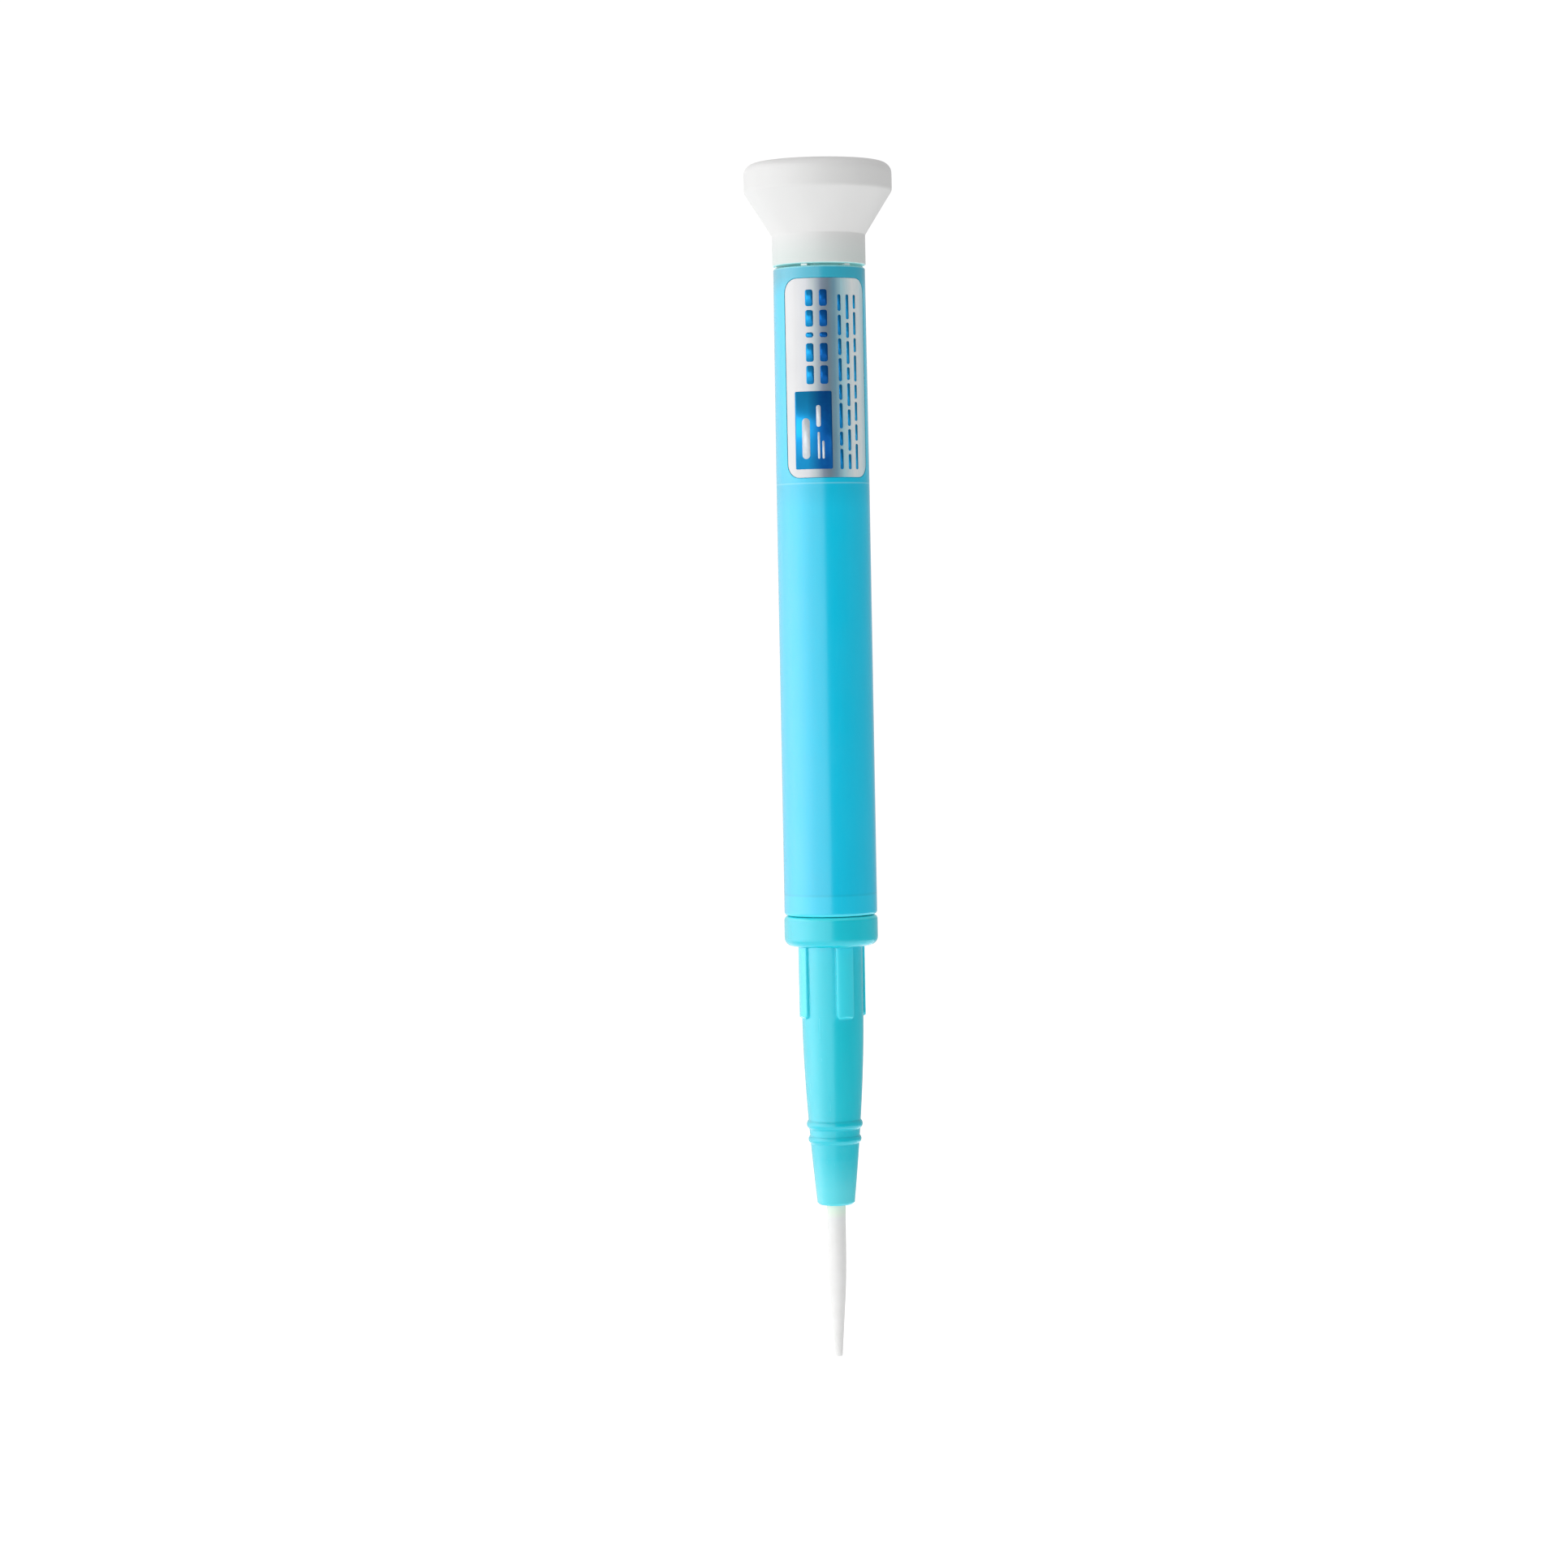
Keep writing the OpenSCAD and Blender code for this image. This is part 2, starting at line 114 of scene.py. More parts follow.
def axes(tree):
    """The point's X, Y and Z, in metres."""
    split = add(tree, "ShaderNodeSeparateXYZ")
    link(tree, place(tree), split.inputs[0])
    return tuple(split.outputs)


def turn_round(tree):
    """The point's angle round the Z axis in radians: 0 towards -Y, and growing towards +X."""
    x, y, _ = axes(tree)
    return maths(tree, "ARCTAN2", x, maths(tree, "MULTIPLY", y, -1))


def noise(tree, size, detail=2.0, stretch=(1, 1, 1), rough=0.5):
    """Noise whose blobs are about this size in metres, denser along an axis where stretch is larger."""
    mapping = add(tree, "ShaderNodeMapping")
    mapping.inputs["Scale"].default_value = [factor / size for factor in stretch]
    link(tree, place(tree), mapping.inputs["Vector"])
    made = add(tree, "ShaderNodeTexNoise")
    set_inputs(made, {"Scale": 1, "Detail": detail, "Roughness": rough})
    link(tree, mapping.outputs["Vector"], made.inputs["Vector"])
    return made.outputs["Fac"]


def spread(tree, value, low, high, from_low=0.3, from_high=0.7):
    """The value, stretched from one span to another and held inside it."""
    made = add(tree, "ShaderNodeMapRange", clamp=True)
    link(tree, value, made.inputs["Value"])
    set_inputs(made, {"From Min": from_low, "From Max": from_high, "To Min": low, "To Max": high})
    return made.outputs["Result"]


def mix(tree, factor, first, second):
    """A colour mix. Each colour is a tuple or another node's output."""
    made = add(tree, "ShaderNodeMix", data_type="RGBA", clamp_factor=True)
    colours = [socket for socket in made.inputs if socket.type == "RGBA"]
    for socket, value in ((made.inputs[0], factor), (colours[0], first), (colours[1], second)):
        if isinstance(value, tuple):
            socket.default_value = (*value, 1)
        elif isinstance(value, (int, float)):
            socket.default_value = value
        else:
            link(tree, value, socket)
    return next(socket for socket in made.outputs if socket.type == "RGBA")


def ramp(tree, factor, stops):
    """A colour ramp through these (position, colour) stops."""
    made = add(tree, "ShaderNodeValToRGB")
    elements = made.color_ramp.elements
    elements[0].position, elements[1].position = 0, 1
    for position, _ in stops[1:-1]:
        elements.new(position)
    for element, (position, colour) in zip(elements, stops):
        element.position = position
        element.color = (*colour, 1)
    link(tree, factor, made.inputs["Fac"])
    return made.outputs["Color"]


def shade(colour, factor):
    return tuple(min(1.0, c * factor) for c in colour)


def height_between(tree, low, high, soft):
    """1 between two heights in the CAD frame, and 0 elsewhere, with soft edges."""
    z = axes(tree)[2]
    rise = spread(tree, z, 0, 1, low - soft, low + soft)
    fall = spread(tree, z, 1, 0, high - soft, high + soft)
    return maths(tree, "MULTIPLY", rise, fall)


def further_out(tree, radius, low, high, soft):
    """1 between two heights where the surface is further than this radius from the pump's axis."""
    x, y, _ = axes(tree)
    squares = maths(tree, "ADD", maths(tree, "MULTIPLY", x, x), maths(tree, "MULTIPLY", y, y))
    proud = spread(tree, maths(tree, "SQRT", squares), 0, 1, radius - soft, radius + soft)
    return maths(tree, "MULTIPLY", proud, height_between(tree, low, high, soft))


def relief(tree, shader, height, depth, edge):
    """Surface relief of this depth in metres, over edges rounded by this radius. Gives the rounded normal."""
    bevel = add(tree, "ShaderNodeBevel", samples=4)
    set_inputs(bevel, {"Radius": edge})
    bump = add(tree, "ShaderNodeBump")
    set_inputs(bump, {"Distance": depth, "Strength": 1})
    link(tree, height, bump.inputs["Height"])
    link(tree, bevel.outputs["Normal"], bump.inputs["Normal"])
    link(tree, bump.outputs["Normal"], shader.inputs["Normal"])
    return bevel.outputs["Normal"]


def edges(tree, rounded):
    """1 where the rounded normal turns away from the surface's own, which is along an edge."""
    sharp, flat = 0.82, 0.99
    geometry = add(tree, "ShaderNodeNewGeometry")
    dot = add(tree, "ShaderNodeVectorMath", operation="DOT_PRODUCT")
    link(tree, rounded, dot.inputs[0])
    link(tree, geometry.outputs["Normal"], dot.inputs[1])
    return spread(tree, dot.outputs["Value"], 1, 0, sharp, flat)


# ---- materials ----


def plastic(name, colour, roughness, grain=0.25 * MM, mottle=0.03, subsurface=0.0, gloss=0.5,
            edge=0.12 * MM, bands=(), masked=None, lit=None):
    """Moulded plastic: flow streaks, a fine mould texture, handling smudges, and edges painted lighter,
    which stand both for wear from rubbing and for painted edge highlights.

    Each band is (low, high, softness, colour, strength) and changes the base colour between two
    heights, as painted light or shade. masked is (mask function, colour), a painted tone on the masked
    part. lit is one more such band, which glows instead, as painted light for a place that otherwise
    renders too dark."""
    material, tree, shader = new_material(name)
    streaks = noise(tree, 6 * MM, 3, stretch=(1, 1, 0.22))
    base = mix(tree, spread(tree, streaks, 0, 1), shade(colour, 1 - mottle), shade(colour, 1 + mottle))
    # each band paints light or shade into the base colour between two heights
    for low, high, soft, tone, strength in bands:
        factor = maths(tree, "MULTIPLY", height_between(tree, low, high, soft), strength)
        base = mix(tree, factor, base, tone)
    if masked:
        base = mix(tree, masked[0](tree), base, masked[1])
    waves = maths(tree, "MULTIPLY", noise(tree, 4 * MM, 1), 1.2)
    height = maths(tree, "ADD", noise(tree, grain, 2), waves)
    rounded = relief(tree, shader, height, 0.004 * MM, edge)
    # edges painted lighter: partly wear from rubbing, partly painted edge highlights
    rubbed_and_highlit = maths(tree, "MULTIPLY", edges(tree, rounded), 0.25)
    base = mix(tree, rubbed_and_highlit, base, shade(colour, 1.25))
    link(tree, base, shader.inputs["Base Color"])
    smudge = noise(tree, 9 * MM, 4, rough=0.6)
    scratch = noise(tree, 0.35 * MM, 1, stretch=(1, 1, 0.03))
    worn = maths(tree, "MULTIPLY", spread(tree, scratch, 0, 1, 0.62, 0.72), 0.06)
    rough = maths(tree, "ADD", spread(tree, smudge, roughness - 0.03, roughness + 0.05), worn)
    link(tree, rough, shader.inputs["Roughness"])
    set_inputs(shader, {"IOR": 1.52, "Specular IOR Level": gloss, "Subsurface Weight": subsurface,
                        "Subsurface Radius": (1, 1, 1), "Subsurface Scale": 0.6 * MM})
    # a painted glow for a place that otherwise renders too dark
    if lit:
        low, high, soft, tone, strength = lit
        set_inputs(shader, {"Emission Color": (*tone, 1)})
        glow = maths(tree, "MULTIPLY", height_between(tree, low, high, soft), strength)
        link(tree, glow, shader.inputs["Emission Strength"])
    return material


def ptfe(nose_foot):
    """Waxy white PTFE, turned on a lathe, with faint tool rings, and tinted where it leaves the nose."""
    material, tree, shader = new_material("ptfe")
    ring_pitch = 0.22 * MM
    rings = maths(tree, "SINE", maths(tree, "MULTIPLY", axes(tree)[2], 2 * math.pi / ring_pitch))
    cloud = noise(tree, 2.5 * MM, 3)
    base = mix(tree, spread(tree, cloud, 0, 1), (0.84, 0.84, 0.83), (0.88, 0.88, 0.875))
    tinted = height_between(tree, nose_foot - 1.8 * MM, nose_foot + 5 * MM, 0.5 * MM)
    base = mix(tree, tinted, base, (0.84, 0.91, 0.79))
    link(tree, base, shader.inputs["Base Color"])
    height = maths(tree, "ADD", noise(tree, 0.15 * MM, 2), maths(tree, "MULTIPLY", rings, 0.25))
    relief(tree, shader, height, 0.004 * MM, 0.06 * MM)
    link(tree, spread(tree, cloud, 0.36, 0.46), shader.inputs["Roughness"])
    set_inputs(shader, {"IOR": 1.38, "Subsurface Weight": 0.25, "Subsurface Radius": (1, 1, 1),
                        "Subsurface Scale": 0.5 * MM})
    return material


# colours round the label, each at an angle in degrees from the middle of its front. They stand for the
# reflections that the photographed foil shows, so they don't move as a real foil's would.
FOIL_PAINTED_REFLECTIONS = (
    (-55, (0.34, 0.34, 0.345)), (-42, (0.33, 0.33, 0.335)), (-27, (0.38, 0.39, 0.41)),
    (-18, (0.31, 0.355, 0.37)), (-8, (0.18, 0.23, 0.30)), (0, (0.19, 0.27, 0.34)),
    (8, (0.20, 0.40, 0.52)), (18, (0.50, 0.80, 0.88)), (34, (0.95, 1.0, 1.0)),
    (47, (0.85, 0.97, 1.0)), (57, (0.5, 0.80, 0.90)))
INK_PAINTED_REFLECTIONS = (
    (-55, (0.01, 0.29, 0.64)), (-28, (0.012, 0.30, 0.63)), (-20, (0.008, 0.19, 0.46)),
    (-12, (0.003, 0.095, 0.34)), (-4, (0.002, 0.071, 0.30)), (8, (0.003, 0.10, 0.33)),
    (18, (0.004, 0.20, 0.45)), (36, (0.01, 0.26, 0.50)), (57, (0.01, 0.22, 0.40)))
LABEL_METAL = 0.35


def colour_round(tree, tints):
    """The colour at each angle round the barrel, smoothly between the given tints."""
    turn = maths(tree, "DEGREES", turn_round(tree))
    first, last = tints[0][0], tints[-1][0]
    stops = [((degrees - first) / (last - first), colour) for degrees, colour in tints]
    return ramp(tree, spread(tree, turn, 0, 1, first, last), stops)


def foil():
    """Silver label foil, brushed along the barrel."""
    material, tree, shader = new_material("foil")
    # the foil's colour by angle is painted reflection, fixed round the barrel
    reflection_tone = colour_round(tree, FOIL_PAINTED_REFLECTIONS)
    brushed = noise(tree, 0.12 * MM, 2, stretch=(1, 1, 0.04))
    worn = mix(tree, 0.10, reflection_tone, (0.25, 0.26, 0.28))
    base = mix(tree, spread(tree, brushed, 0, 1), worn, reflection_tone)
    link(tree, base, shader.inputs["Base Color"])
    clouds = noise(tree, 5 * MM, 2)
    height = maths(tree, "ADD", maths(tree, "MULTIPLY", brushed, 0.3), clouds)
    relief(tree, shader, height, 0.006 * MM, 0.05 * MM)
    link(tree, spread(tree, clouds, 0.30, 0.38), shader.inputs["Roughness"])
    set_inputs(shader, {"Metallic": LABEL_METAL})
    return material


def ink():
    """Blue printing on the foil, a little uneven in depth."""
    material, tree, shader = new_material("label_ink")
    # the ink's colour by angle is painted reflection, fixed round the barrel
    reflection_tone = colour_round(tree, INK_PAINTED_REFLECTIONS)
    depth = noise(tree, 1.2 * MM, 4, rough=0.7)
    thin = maths(tree, "MULTIPLY", spread(tree, depth, 0, 1), 0.1)
    base = mix(tree, thin, reflection_tone, (0.01, 0.36, 0.80))
    link(tree, base, shader.inputs["Base Color"])
    relief(tree, shader, noise(tree, 0.1 * MM, 2), 0.002 * MM, 0.02 * MM)
    link(tree, spread(tree, depth, 0.30, 0.38), shader.inputs["Roughness"])
    set_inputs(shader, {"Metallic": LABEL_METAL, "Specular IOR Level": 0.05})
    return material


def white_ink():
    """White screen printing over the blue."""
    material, tree, shader = new_material("label_white_ink")
    depth = noise(tree, 0.8 * MM, 4, rough=0.7)
    base = mix(tree, spread(tree, depth, 0, 1), (0.68, 0.74, 0.80), (0.80, 0.84, 0.88))
    link(tree, base, shader.inputs["Base Color"])
    relief(tree, shader, noise(tree, 0.1 * MM, 2), 0.002 * MM, 0.02 * MM)
    link(tree, spread(tree, depth, 0.35, 0.45), shader.inputs["Roughness"])
    return material


def metal(name, colour, roughness, along=(1, 1, 0.05), size=0.2 * MM):
    """Ground or drawn metal: tool lines in one direction and faint staining."""
    material, tree, shader = new_material(name)
    lines = noise(tree, size, 2, stretch=along)
    stain = noise(tree, 3 * MM, 4, rough=0.6)
    base = mix(tree, spread(tree, stain, 0, 1), shade(colour, 0.86), shade(colour, 1.06))
    link(tree, base, shader.inputs["Base Color"])
    relief(tree, shader, lines, 0.004 * MM, 0.08 * MM)
    link(tree, spread(tree, lines, roughness - 0.06, roughness + 0.08), shader.inputs["Roughness"])
    set_inputs(shader, {"Metallic": 1})
    return material


def rubber(name, colour, bloom):
    """Matt rubber with a fine grain and a dusty bloom."""
    material, tree, shader = new_material(name)
    dust = noise(tree, 1.5 * MM, 5, rough=0.65)
    base = mix(tree, spread(tree, dust, 0, 0.5), colour, bloom)
    link(tree, base, shader.inputs["Base Color"])
    relief(tree, shader, noise(tree, 0.12 * MM, 3), 0.012 * MM, 0.06 * MM)
    link(tree, spread(tree, dust, 0.62, 0.82), shader.inputs["Roughness"])
    return material


BARREL_BLUE = (0.001, 0.59, 0.85)
# painted light: lighter where light shows through the wall over the nose's spigot
BARREL_SPIGOT_PAINTED_LIGHT = (0.01, 0.66, 0.90)
# painted shade under the knob, partly the grey cap inside showing through
BARREL_TOP_PAINTED_SHADE = (0.06, 0.34, 0.44)
# painted highlight on the barrel's top lip
LIP_PAINTED_HIGHLIGHT = (0.40, 0.85, 0.85)
# painted light in the grooves at the barrel's foot
GROOVE_PAINTED_LIGHT = (0.10, 0.95, 1.0)
# painted highlight along the step under the label
LABEL_STEP_PAINTED_HIGHLIGHT = (0.35, 0.80, 0.92)
NOSE_BLUE = (0.002, 0.62, 0.75)
# painted light: a lighter glow towards the nose's mouth
NOSE_MOUTH_PAINTED_LIGHT = (0.20, 0.86, 0.92)
# painted light: the ribs are lighter than the nose, though made of the same plastic
RIB_PAINTED_LIGHT = (0.04, 0.75, 0.89)
KNOB_WHITE = (0.76, 0.76, 0.755)
# painted shade on the knob's neck, tinted teal by light bounced from the barrel
KNOB_NECK_PAINTED_SHADE = (0.60, 0.71, 0.68)
# painted light on the knob's crown rim
KNOB_CROWN_PAINTED_LIGHT = (0.88, 0.873, 0.87)
# painted teal bounce light on the knob's underside in the gap
KNOB_UNDERSIDE_PAINTED_BOUNCE = (0.45, 0.80, 0.80)
# painted glow in the gap under the knob, which is no lamp
KNOB_GAP_PAINTED_GLOW = (0.35, 0.90, 0.90)

barrel_foot, barrel_top = (corner.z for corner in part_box("barrel"))
label_foot, label_head = (corner.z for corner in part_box("label"))
nose_foot, nose_top = (corner.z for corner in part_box("nose"))
knob_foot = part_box("knob")[0].z
crown_foot, crown_top = knob_foot + 15.2 * MM, knob_foot + 20 * MM
rib_foot, rib_top = nose_foot + 29 * MM, nose_foot + 41.3 * MM
rib_radius = 0.69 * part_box("nose")[1].x


# the ribs' painted lighter tone goes where this mask is 1
def on_rib(tree):
    """1 on the nose's grip ribs."""
    return further_out(tree, rib_radius, rib_foot, rib_top, 0.12 * MM)


barrel_painted_bands = (
    # the stretch that the nose's spigot fills, painted lighter as light showing through the wall over
    # the spigot, and the faint line at the spigot's top
    (barrel_foot - MM, nose_top, 0.15 * MM, BARREL_SPIGOT_PAINTED_LIGHT, 0.5),
    (nose_top - 0.1 * MM, nose_top + 0.25 * MM, 0.12 * MM, shade(BARREL_BLUE, 0.75), 0.3),
    # painted light in the groove at the lower lip, painted shade under the knob over the stretch above
    # the label (partly the grey cap inside showing through), and a painted highlight on the upper lip
    (barrel_foot - MM, barrel_foot + 0.3 * MM, 0.2 * MM, GROOVE_PAINTED_LIGHT, 0.7),
    (label_head - MM, barrel_top + MM, 1.5 * MM, BARREL_TOP_PAINTED_SHADE, 0.65),
    (barrel_top - 0.2 * MM, barrel_top + MM, 0.1 * MM, LIP_PAINTED_HIGHLIGHT, 0.8),
    # below the label: a stretch of painted shade, and a painted highlight along the step where the barrel
    # starts to narrow
    (label_foot - 3 * MM, label_foot, 2 * MM, shade(BARREL_BLUE, 0.7), 0.35),
    (label_foot - 1.0 * MM, label_foot - 0.8 * MM, 0.08 * MM, LABEL_STEP_PAINTED_HIGHLIGHT, 0.35))
nose_painted_bands = (
    # painted light: a glow towards the nose's mouth, and light in the groove under the barrel's foot
    (nose_foot - MM, nose_foot + 4 * MM, 3.5 * MM, NOSE_MOUTH_PAINTED_LIGHT, 0.5),
    (barrel_foot - 0.5 * MM, barrel_foot + 0.1 * MM, 0.15 * MM, GROOVE_PAINTED_LIGHT, 0.7))
knob_painted_bands = (
    # painted shade on the neck, painted light on the crown rim, and painted bounce light underneath
    (knob_foot - MM, knob_foot + 3 * MM, 2 * MM, KNOB_NECK_PAINTED_SHADE, 0.5),
    (crown_foot, crown_top, 0.8 * MM, KNOB_CROWN_PAINTED_LIGHT, 0.9),
    (knob_foot - MM, knob_foot + 0.1 * MM, 0.1 * MM, KNOB_UNDERSIDE_PAINTED_BOUNCE, 0.8))
# a faint painted glow in the gap under the knob
knob_gap_painted_glow = (knob_foot - MM, knob_foot + 0.05 * MM, 0.05 * MM, KNOB_GAP_PAINTED_GLOW, 0.17)

materials = {
    "barrel_plastic": plastic("barrel_plastic", BARREL_BLUE, 0.15, mottle=0.02, subsurface=0.12,
                              bands=barrel_painted_bands),
    # the nose's ribs get a painted lighter tone through the mask
    "nose_plastic": plastic("nose_plastic", NOSE_BLUE, 0.19, mottle=0.025, grain=0.18 * MM, subsurface=0.35,
                            edge=0.3 * MM, bands=nose_painted_bands, masked=(on_rib, RIB_PAINTED_LIGHT)),
    "knob_plastic": plastic("knob_plastic", KNOB_WHITE, 0.34, mottle=0.012, gloss=0.25, bands=knob_painted_bands,
                            lit=knob_gap_painted_glow),
    "button_plastic": plastic("button_plastic", (0.80, 0.80, 0.795), 0.36, mottle=0.015),
    "cap_plastic": plastic("cap_plastic", (0.74, 0.76, 0.75), 0.38, mottle=0.02),
    "ptfe": ptfe(nose_foot),
    "foil": foil(),
    "rubber": rubber("rubber", (0.018, 0.018, 0.02), (0.07, 0.07, 0.07)),
    "silicone": rubber("silicone", (0.30, 0.035, 0.018), (0.36, 0.09, 0.06)),
    "steel": metal("steel", (0.56, 0.57, 0.58), 0.26),
    "spring_steel": metal("spring_steel", (0.50, 0.51, 0.53), 0.32, along=(1, 1, 1), size=0.1 * MM),
}

for cad_node in frame["nodes"].values():
    for slot in cad_node.material_slots:
        slot.material = materials[slot.material.name.split(".")[0]]


# ---- mesh helpers ----


def piece(name, bm, material):
    """An object from a bmesh, smooth shaded, with outward normals."""
    bmesh.ops.recalc_face_normals(bm, faces=bm.faces)
    mesh = bpy.data.meshes.new(name)
    bm.to_mesh(mesh)
    bm.free()
    mesh.materials.append(material)
    for polygon in mesh.polygons:
        polygon.use_smooth = True
    made = bpy.data.objects.new(name, mesh)
    bpy.context.scene.collection.objects.link(made)
    return made


# ---- label printing ----

INK = 0.010 * MM


def label_radius(z):
    """The label's outer radius near one of its ends."""
    near = 3 * MM
    vertices = frame["nodes"]["label"].data.vertices
    return max(math.hypot(v.co.x, v.co.y) for v in vertices if abs(v.co.z - z) < near)


label_foot_r, label_head_r = label_radius(label_foot), label_radius(label_head)


def on_label(angle, z, lift):
    """The point on the label at this angle round from the middle of its front, lifted outward."""
    share = (z - label_foot) / (label_head - label_foot)
    r = label_foot_r + (label_head_r - label_foot_r) * share + lift
    return Vector((r * math.sin(angle), -r * math.cos(angle), z))


def patch(bm, angle, z, width, height, corner, lift):
    """A thin printed patch with round corners, laid round the label. Width is along the curve."""
    corner = min(corner, width / 2, height / 2)
    straight = width / 2 - corner
    columns = max(2, int(width / (0.25 * MM)))
    even = [-width / 2 + width * i / columns for i in range(columns + 1)]
    bend = [straight + corner * math.sin(math.radians(15 * i)) for i in range(7)]
    cuts = {round(x, 8) for x in even if abs(x) < straight}
    cuts |= {round(side * x, 8) for x in bend for side in (-1, 1)}
    rows = []
    for x in sorted(cuts):
        past = max(0.0, abs(x) - straight)
        half = height / 2 - corner + math.sqrt(max(0.0, corner * corner - past * past))
        a = angle + x / label_foot_r
        rows.append([bm.verts.new(on_label(a, z + side * half, lift + up))
                     for side, up in ((-1, 0.0), (1, 0.0), (1, INK), (-1, INK))])
    for left, right in zip(rows, rows[1:]):
        for k in range(4):
            j = (k + 1) % 4
            bm.faces.new((left[k], left[j], right[j], right[k]))
    bm.faces.new(rows[0])
    bm.faces.new(rows[-1][::-1])


# the printing: turns are in degrees from the middle of the label's front, and starts, lengths and widths in
# millimetres, with starts above the label's foot
BLOCK_TURN, BLOCK_START, BLOCK_LENGTH, BLOCK_WIDTH, BLOCK_CORNER = -21, 1.3, 12.2, 6.1, 0.25
BAR_TURNS, BAR_WIDTH, BAR_CORNER = (-23.5, -6), 1.25, 0.35
BARS = ((14.6, 2.9), (18.1, 2.9), (21.9, 0.8), (23.6, 2.6), (26.8, 2.6))
DASH_WIDTH, DASH_CORNER = 0.55, 0.25
DASHES = {
    14.5: ((1.2, 3.2), (4.9, 2.2), (7.6, 4.0), (12.1, 2.4),
           (15.0, 3.6), (19.1, 2.6), (22.2, 3.2), (26.0, 2.6)),
    26.0: ((1.2, 2.4), (4.1, 3.4), (8.0, 2.6), (11.1, 3.6),
           (15.2, 2.0), (17.7, 3.6), (21.8, 2.4), (24.7, 3.9)),
    37.5: ((1.2, 4.0), (5.7, 2.6), (8.8, 3.0), (12.3, 2.2),
           (15.0, 4.1), (19.6, 2.2), (22.3, 3.6), (26.4, 2.2)),
}
# each is turn, start, length and width; their corners are fully round
WHITE_MARKS = ((-30, 2.9, 6.4, 1.3), (-14, 2.9, 4.2, 0.35), (-8.5, 2.9, 2.8, 0.35), (-14, 7.9, 3.4, 0.7))


def mark(bm, turn, start, length, width, corner, lift=0.0):
    """One printed mark, by its turn, start, length, width and corner radius as listed above."""
    middle = label_foot + (start + length / 2) * MM
    patch(bm, math.radians(turn), middle, width * MM, length * MM, corner * MM, lift)


def label_print():
    """Plain marks in place of the real label's printing: a block, broad bars and broken lines."""
    blue = bmesh.new()
    mark(blue, BLOCK_TURN, BLOCK_START, BLOCK_LENGTH, BLOCK_WIDTH, BLOCK_CORNER)
    for start, length in BARS:
        for turn in BAR_TURNS:
            mark(blue, turn, start, length, BAR_WIDTH, BAR_CORNER)
    for turn, dashes in DASHES.items():
        for start, length in dashes:
            mark(blue, turn, start, length, DASH_WIDTH, DASH_CORNER)
    printed = piece("label_blue_print", blue, ink())
    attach(printed, "barrel")

    white = bmesh.new()
    for turn, start, length, width in WHITE_MARKS:
        mark(white, turn, start, length, width, width / 2, lift=INK)
    marks = piece("label_white_print", white, white_ink())
    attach(marks, "barrel")


label_print()


# ---- main spring ----


def main_spring():
    """The coil as a real wire, which opens out between the barrel's ledge and the piston."""
    low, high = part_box("main_spring")
    wire = 0.8 * MM
    turns, steps, sides = 14, 28, 10
    coil_r = high.x - wire / 2
    closed = wire + 0.02 * MM
    pitch = (high.z - low.z - wire - 2 * closed) / (turns - 2)

    def wire_z(turn):
        """The wire's height after a number of turns. The first and last turns are closed."""
        ends = min(turn, 1) + max(0, turn - turns + 1)
        return low.z + wire / 2 + ends * closed + max(0, min(turn - 1, turns - 2)) * pitch

    bm = bmesh.new()
    rings = []
    for i in range(turns * steps + 1):
        turn = i / steps
        a = 2 * math.pi * turn
        ring = []
        for j in range(sides):
            b = 2 * math.pi * j / sides
            r = coil_r + wire / 2 * math.cos(b)
            z = wire_z(turn) + wire / 2 * math.sin(b)
            ring.append(bm.verts.new((r * math.cos(a), r * math.sin(a), z)))
        rings.append(ring)
    for first, second in zip(rings, rings[1:]):
        for j in range(sides):
            k = (j + 1) % sides
            bm.faces.new((first[j], first[k], second[k], second[j]))
    bm.faces.new(rings[0][::-1])
    bm.faces.new(rings[-1])
    coil = piece("main_spring_coil", bm, materials["spring_steel"])
    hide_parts("main_spring")
    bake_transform(coil)


main_spring()


# ---- stage, light and camera ----

CAMERA_AZIMUTH = math.radians(-10)


def floor():
    """A plain pale floor, well below the pump, which hangs point down as in a catalogue picture."""
    radius, depth = 4, 0.30
    glow_to_all, more_to_camera, more_to_gloss = 0.76, 0.2, 0.7
    bm = bmesh.new()
    bmesh.ops.create_circle(bm, cap_ends=True, radius=radius, segments=96)
    material, tree, shader = new_material("floor")
    cloud = spread(tree, noise(tree, 0.3, 3), 0, 1)
    link(tree, mix(tree, cloud, (0.44, 0.44, 0.44), (0.46, 0.46, 0.46)), shader.inputs["Base Color"])
    set_inputs(shader, {"Roughness": 0.8, "Emission Color": (1, 1, 1, 1)})
    path = add(tree, "ShaderNodeLightPath")
    seen = maths(tree, "MULTIPLY", path.outputs["Is Camera Ray"], more_to_camera)
    mirrored = maths(tree, "MULTIPLY", path.outputs["Is Glossy Ray"], more_to_gloss)
    glow = maths(tree, "ADD", maths(tree, "ADD", seen, mirrored), glow_to_all)
    link(tree, glow, shader.inputs["Emission Strength"])
    made = piece("floor", bm, material)
    made.location.z = -depth


# the card's brightness by angle in degrees: 0 is towards the camera, and angles grow to the right of it
CARD_LIGHT = (
    (-180, 0.7), (-150, 1.2), (-120, 2.6), (-95, 4.6), (-75, 5.0), (-55, 4.2), (-35, 3.0), (-12, 2.5),
    (-2, 2.1), (7, 0.3), (20, 0.08), (50, 0.15), (75, 0.28), (105, 0.35), (140, 0.4), (180, 0.7))


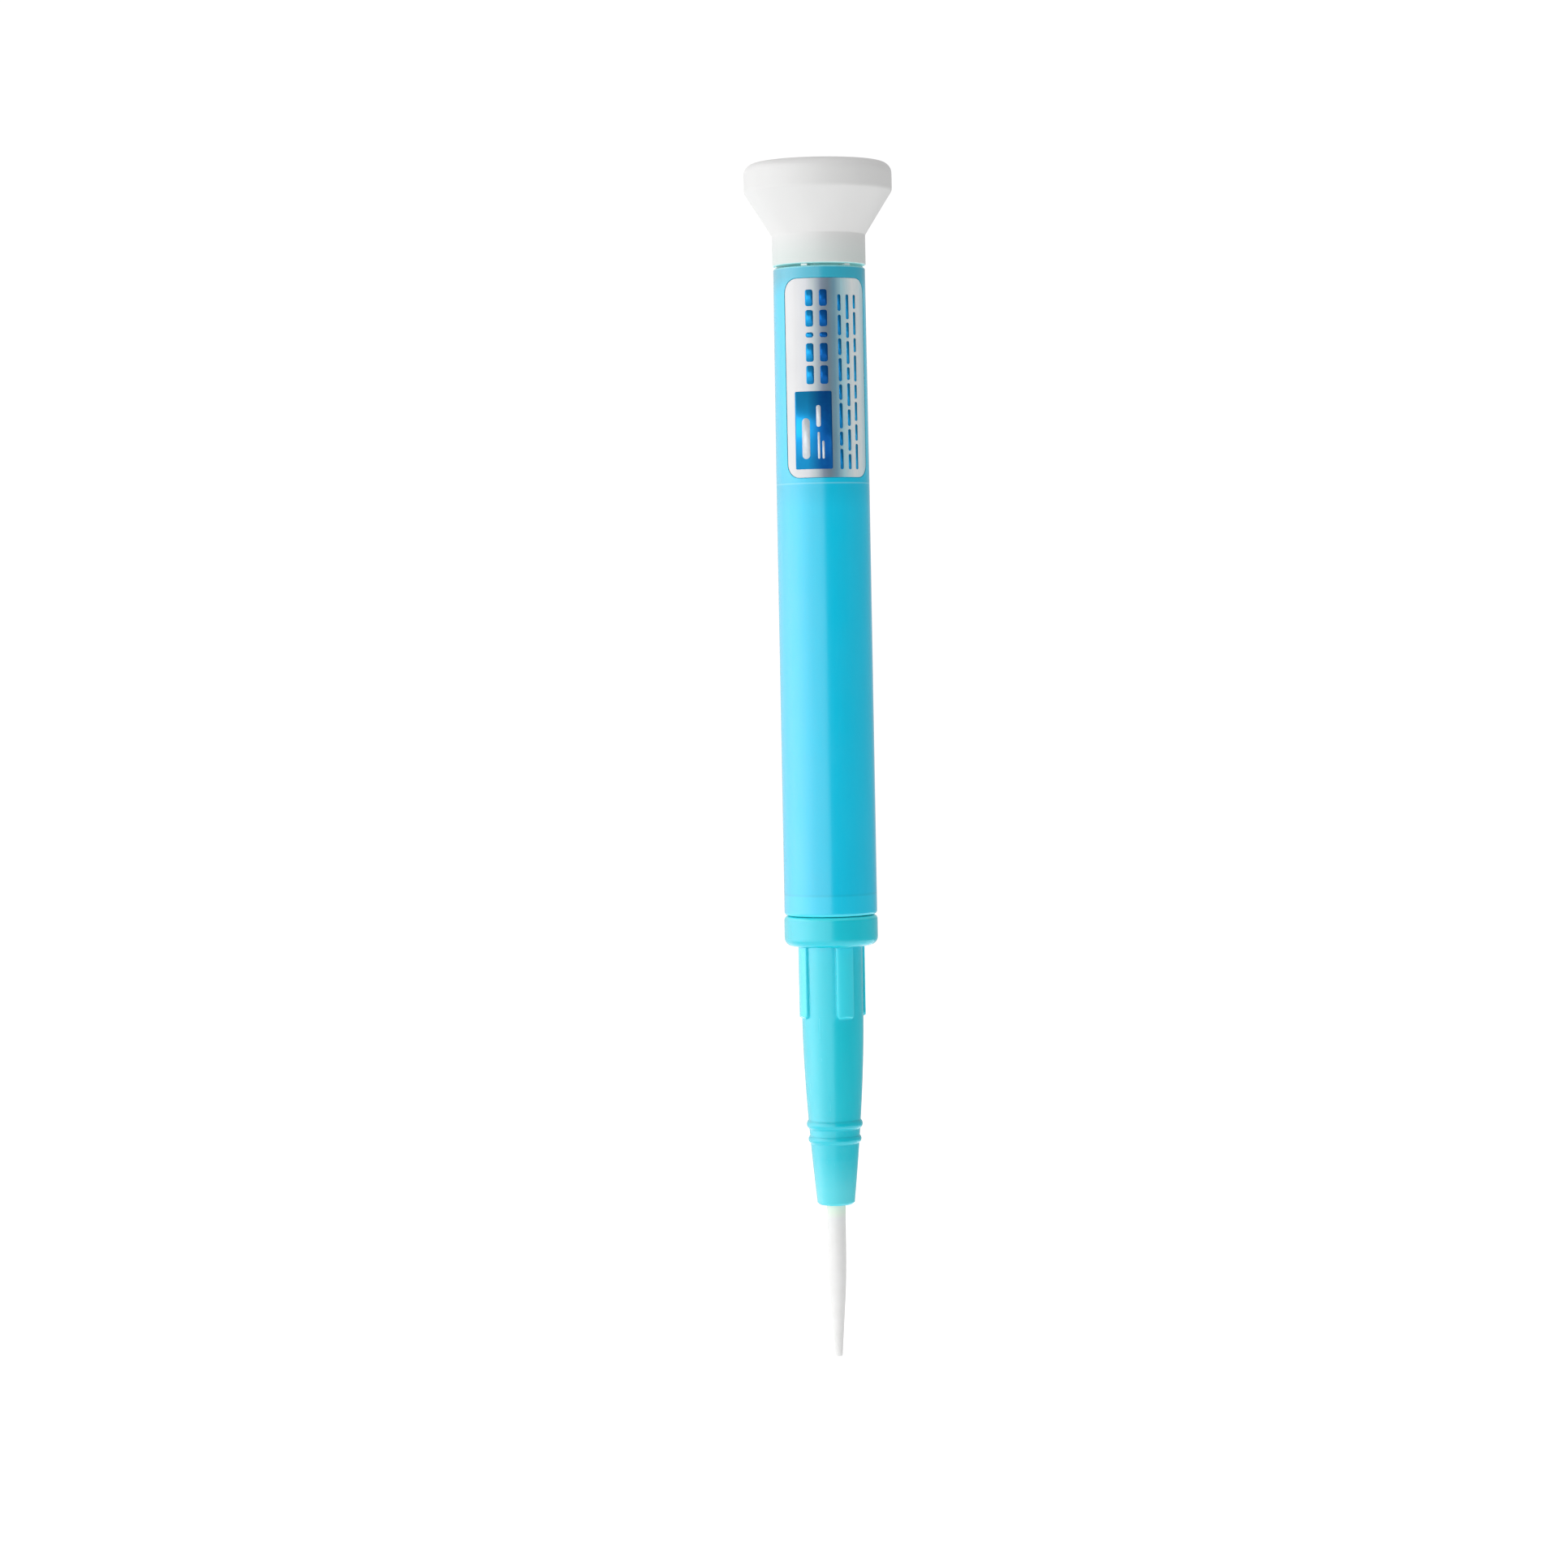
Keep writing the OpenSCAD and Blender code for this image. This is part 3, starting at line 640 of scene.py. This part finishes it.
def gloss_card():
    """A soft wall of light that only glossy reflections see: bright on the left, dark in front."""
    radius, low, high, segments = 1.1, -1.0, 1.3, 96
    bm = bmesh.new()
    posts = []
    for i in range(segments):
        a = 2 * math.pi * i / segments
        posts.append([bm.verts.new((radius * math.cos(a), radius * math.sin(a), z)) for z in (low, high)])
    for i, first in enumerate(posts):
        second = posts[(i + 1) % segments]
        bm.faces.new((first[0], second[0], second[1], first[1]))
    material = bpy.data.materials.new("gloss_card")
    material.use_nodes = True
    tree = material.node_tree
    tree.nodes.clear()
    turns = maths(tree, "DIVIDE", turn_round(tree), 2 * math.pi)
    share = maths(tree, "FRACT", maths(tree, "ADD", turns, 0.5))
    brightest = max(radiance for _, radiance in CARD_LIGHT)
    stops = [((degrees + 180) / 360, (radiance / brightest,) * 3) for degrees, radiance in CARD_LIGHT]
    emission = add(tree, "ShaderNodeEmission")
    set_inputs(emission, {"Strength": brightest})
    link(tree, ramp(tree, share, stops), emission.inputs["Color"])
    output = add(tree, "ShaderNodeOutputMaterial")
    link(tree, emission.outputs[0], output.inputs["Surface"])
    material.cycles.emission_sampling = "NONE"
    card = piece("gloss_card", bm, material)
    card.rotation_euler.z = CAMERA_AZIMUTH
    card.visible_camera = False
    card.visible_diffuse = False
    card.visible_shadow = False
    card.visible_transmission = False


def soft_light(name, azimuth, elevation, distance, width, height, radiance):
    """An area light that faces the pump, placed by its angles from the camera's azimuth."""
    light = bpy.data.lights.new(name, "AREA")
    light.shape = "RECTANGLE"
    light.size, light.size_y = width, height
    light.energy = radiance * math.pi * width * height
    made = bpy.data.objects.new(name, light)
    bpy.context.scene.collection.objects.link(made)
    a = CAMERA_AZIMUTH + math.radians(azimuth)
    e = math.radians(elevation)
    away = Vector((math.sin(a) * math.cos(e), -math.cos(a) * math.cos(e), math.sin(e)))
    aim = Vector((0, 0, 0.1))
    made.location = aim + away * distance
    made.rotation_euler = away.to_track_quat("Z", "Y").to_euler()
    made.visible_camera = False
    made.visible_glossy = False


def world():
    """White to the camera, and a soft even grey to everything else."""
    glow_to_all, more_to_camera = 0.44, 0.62
    made = bpy.data.worlds.new("studio")
    bpy.context.scene.world = made
    made.use_nodes = True
    tree = made.node_tree
    background = tree.nodes["Background"]
    path = add(tree, "ShaderNodeLightPath")
    seen = maths(tree, "MULTIPLY", path.outputs["Is Camera Ray"], more_to_camera)
    set_inputs(background, {"Color": (1, 1, 1, 1)})
    link(tree, maths(tree, "ADD", seen, glow_to_all), background.inputs["Strength"])


def camera():
    """A long lens at the photograph's angle, a little above the pump's middle, aimed slightly down."""
    distance, height = 0.650, 0.118
    yaw, pitch, roll = (math.radians(degrees) for degrees in (0.625, 90 - 2.307, -1.082))
    data = bpy.data.cameras.new("camera")
    data.lens = 93.77
    data.sensor_width = 36
    made = bpy.data.objects.new("camera", data)
    bpy.context.scene.collection.objects.link(made)
    a = CAMERA_AZIMUTH
    made.location = (distance * math.sin(a), -distance * math.cos(a), height)
    heading = Matrix.Rotation(a + yaw, 4, "Z")
    aimed = heading @ Matrix.Rotation(pitch, 4, "X") @ Matrix.Rotation(roll, 4, "Z")
    made.rotation_euler = aimed.to_euler()
    bpy.context.scene.camera = made


floor()
gloss_card()
soft_light("key", azimuth=-52, elevation=12, distance=1.3, width=1.0, height=1.2, radiance=1.5)
soft_light("top", azimuth=-10, elevation=78, distance=1.2, width=1.0, height=1.0, radiance=0.6)
world()
camera()
bpy.context.scene.view_settings.view_transform = "Standard"
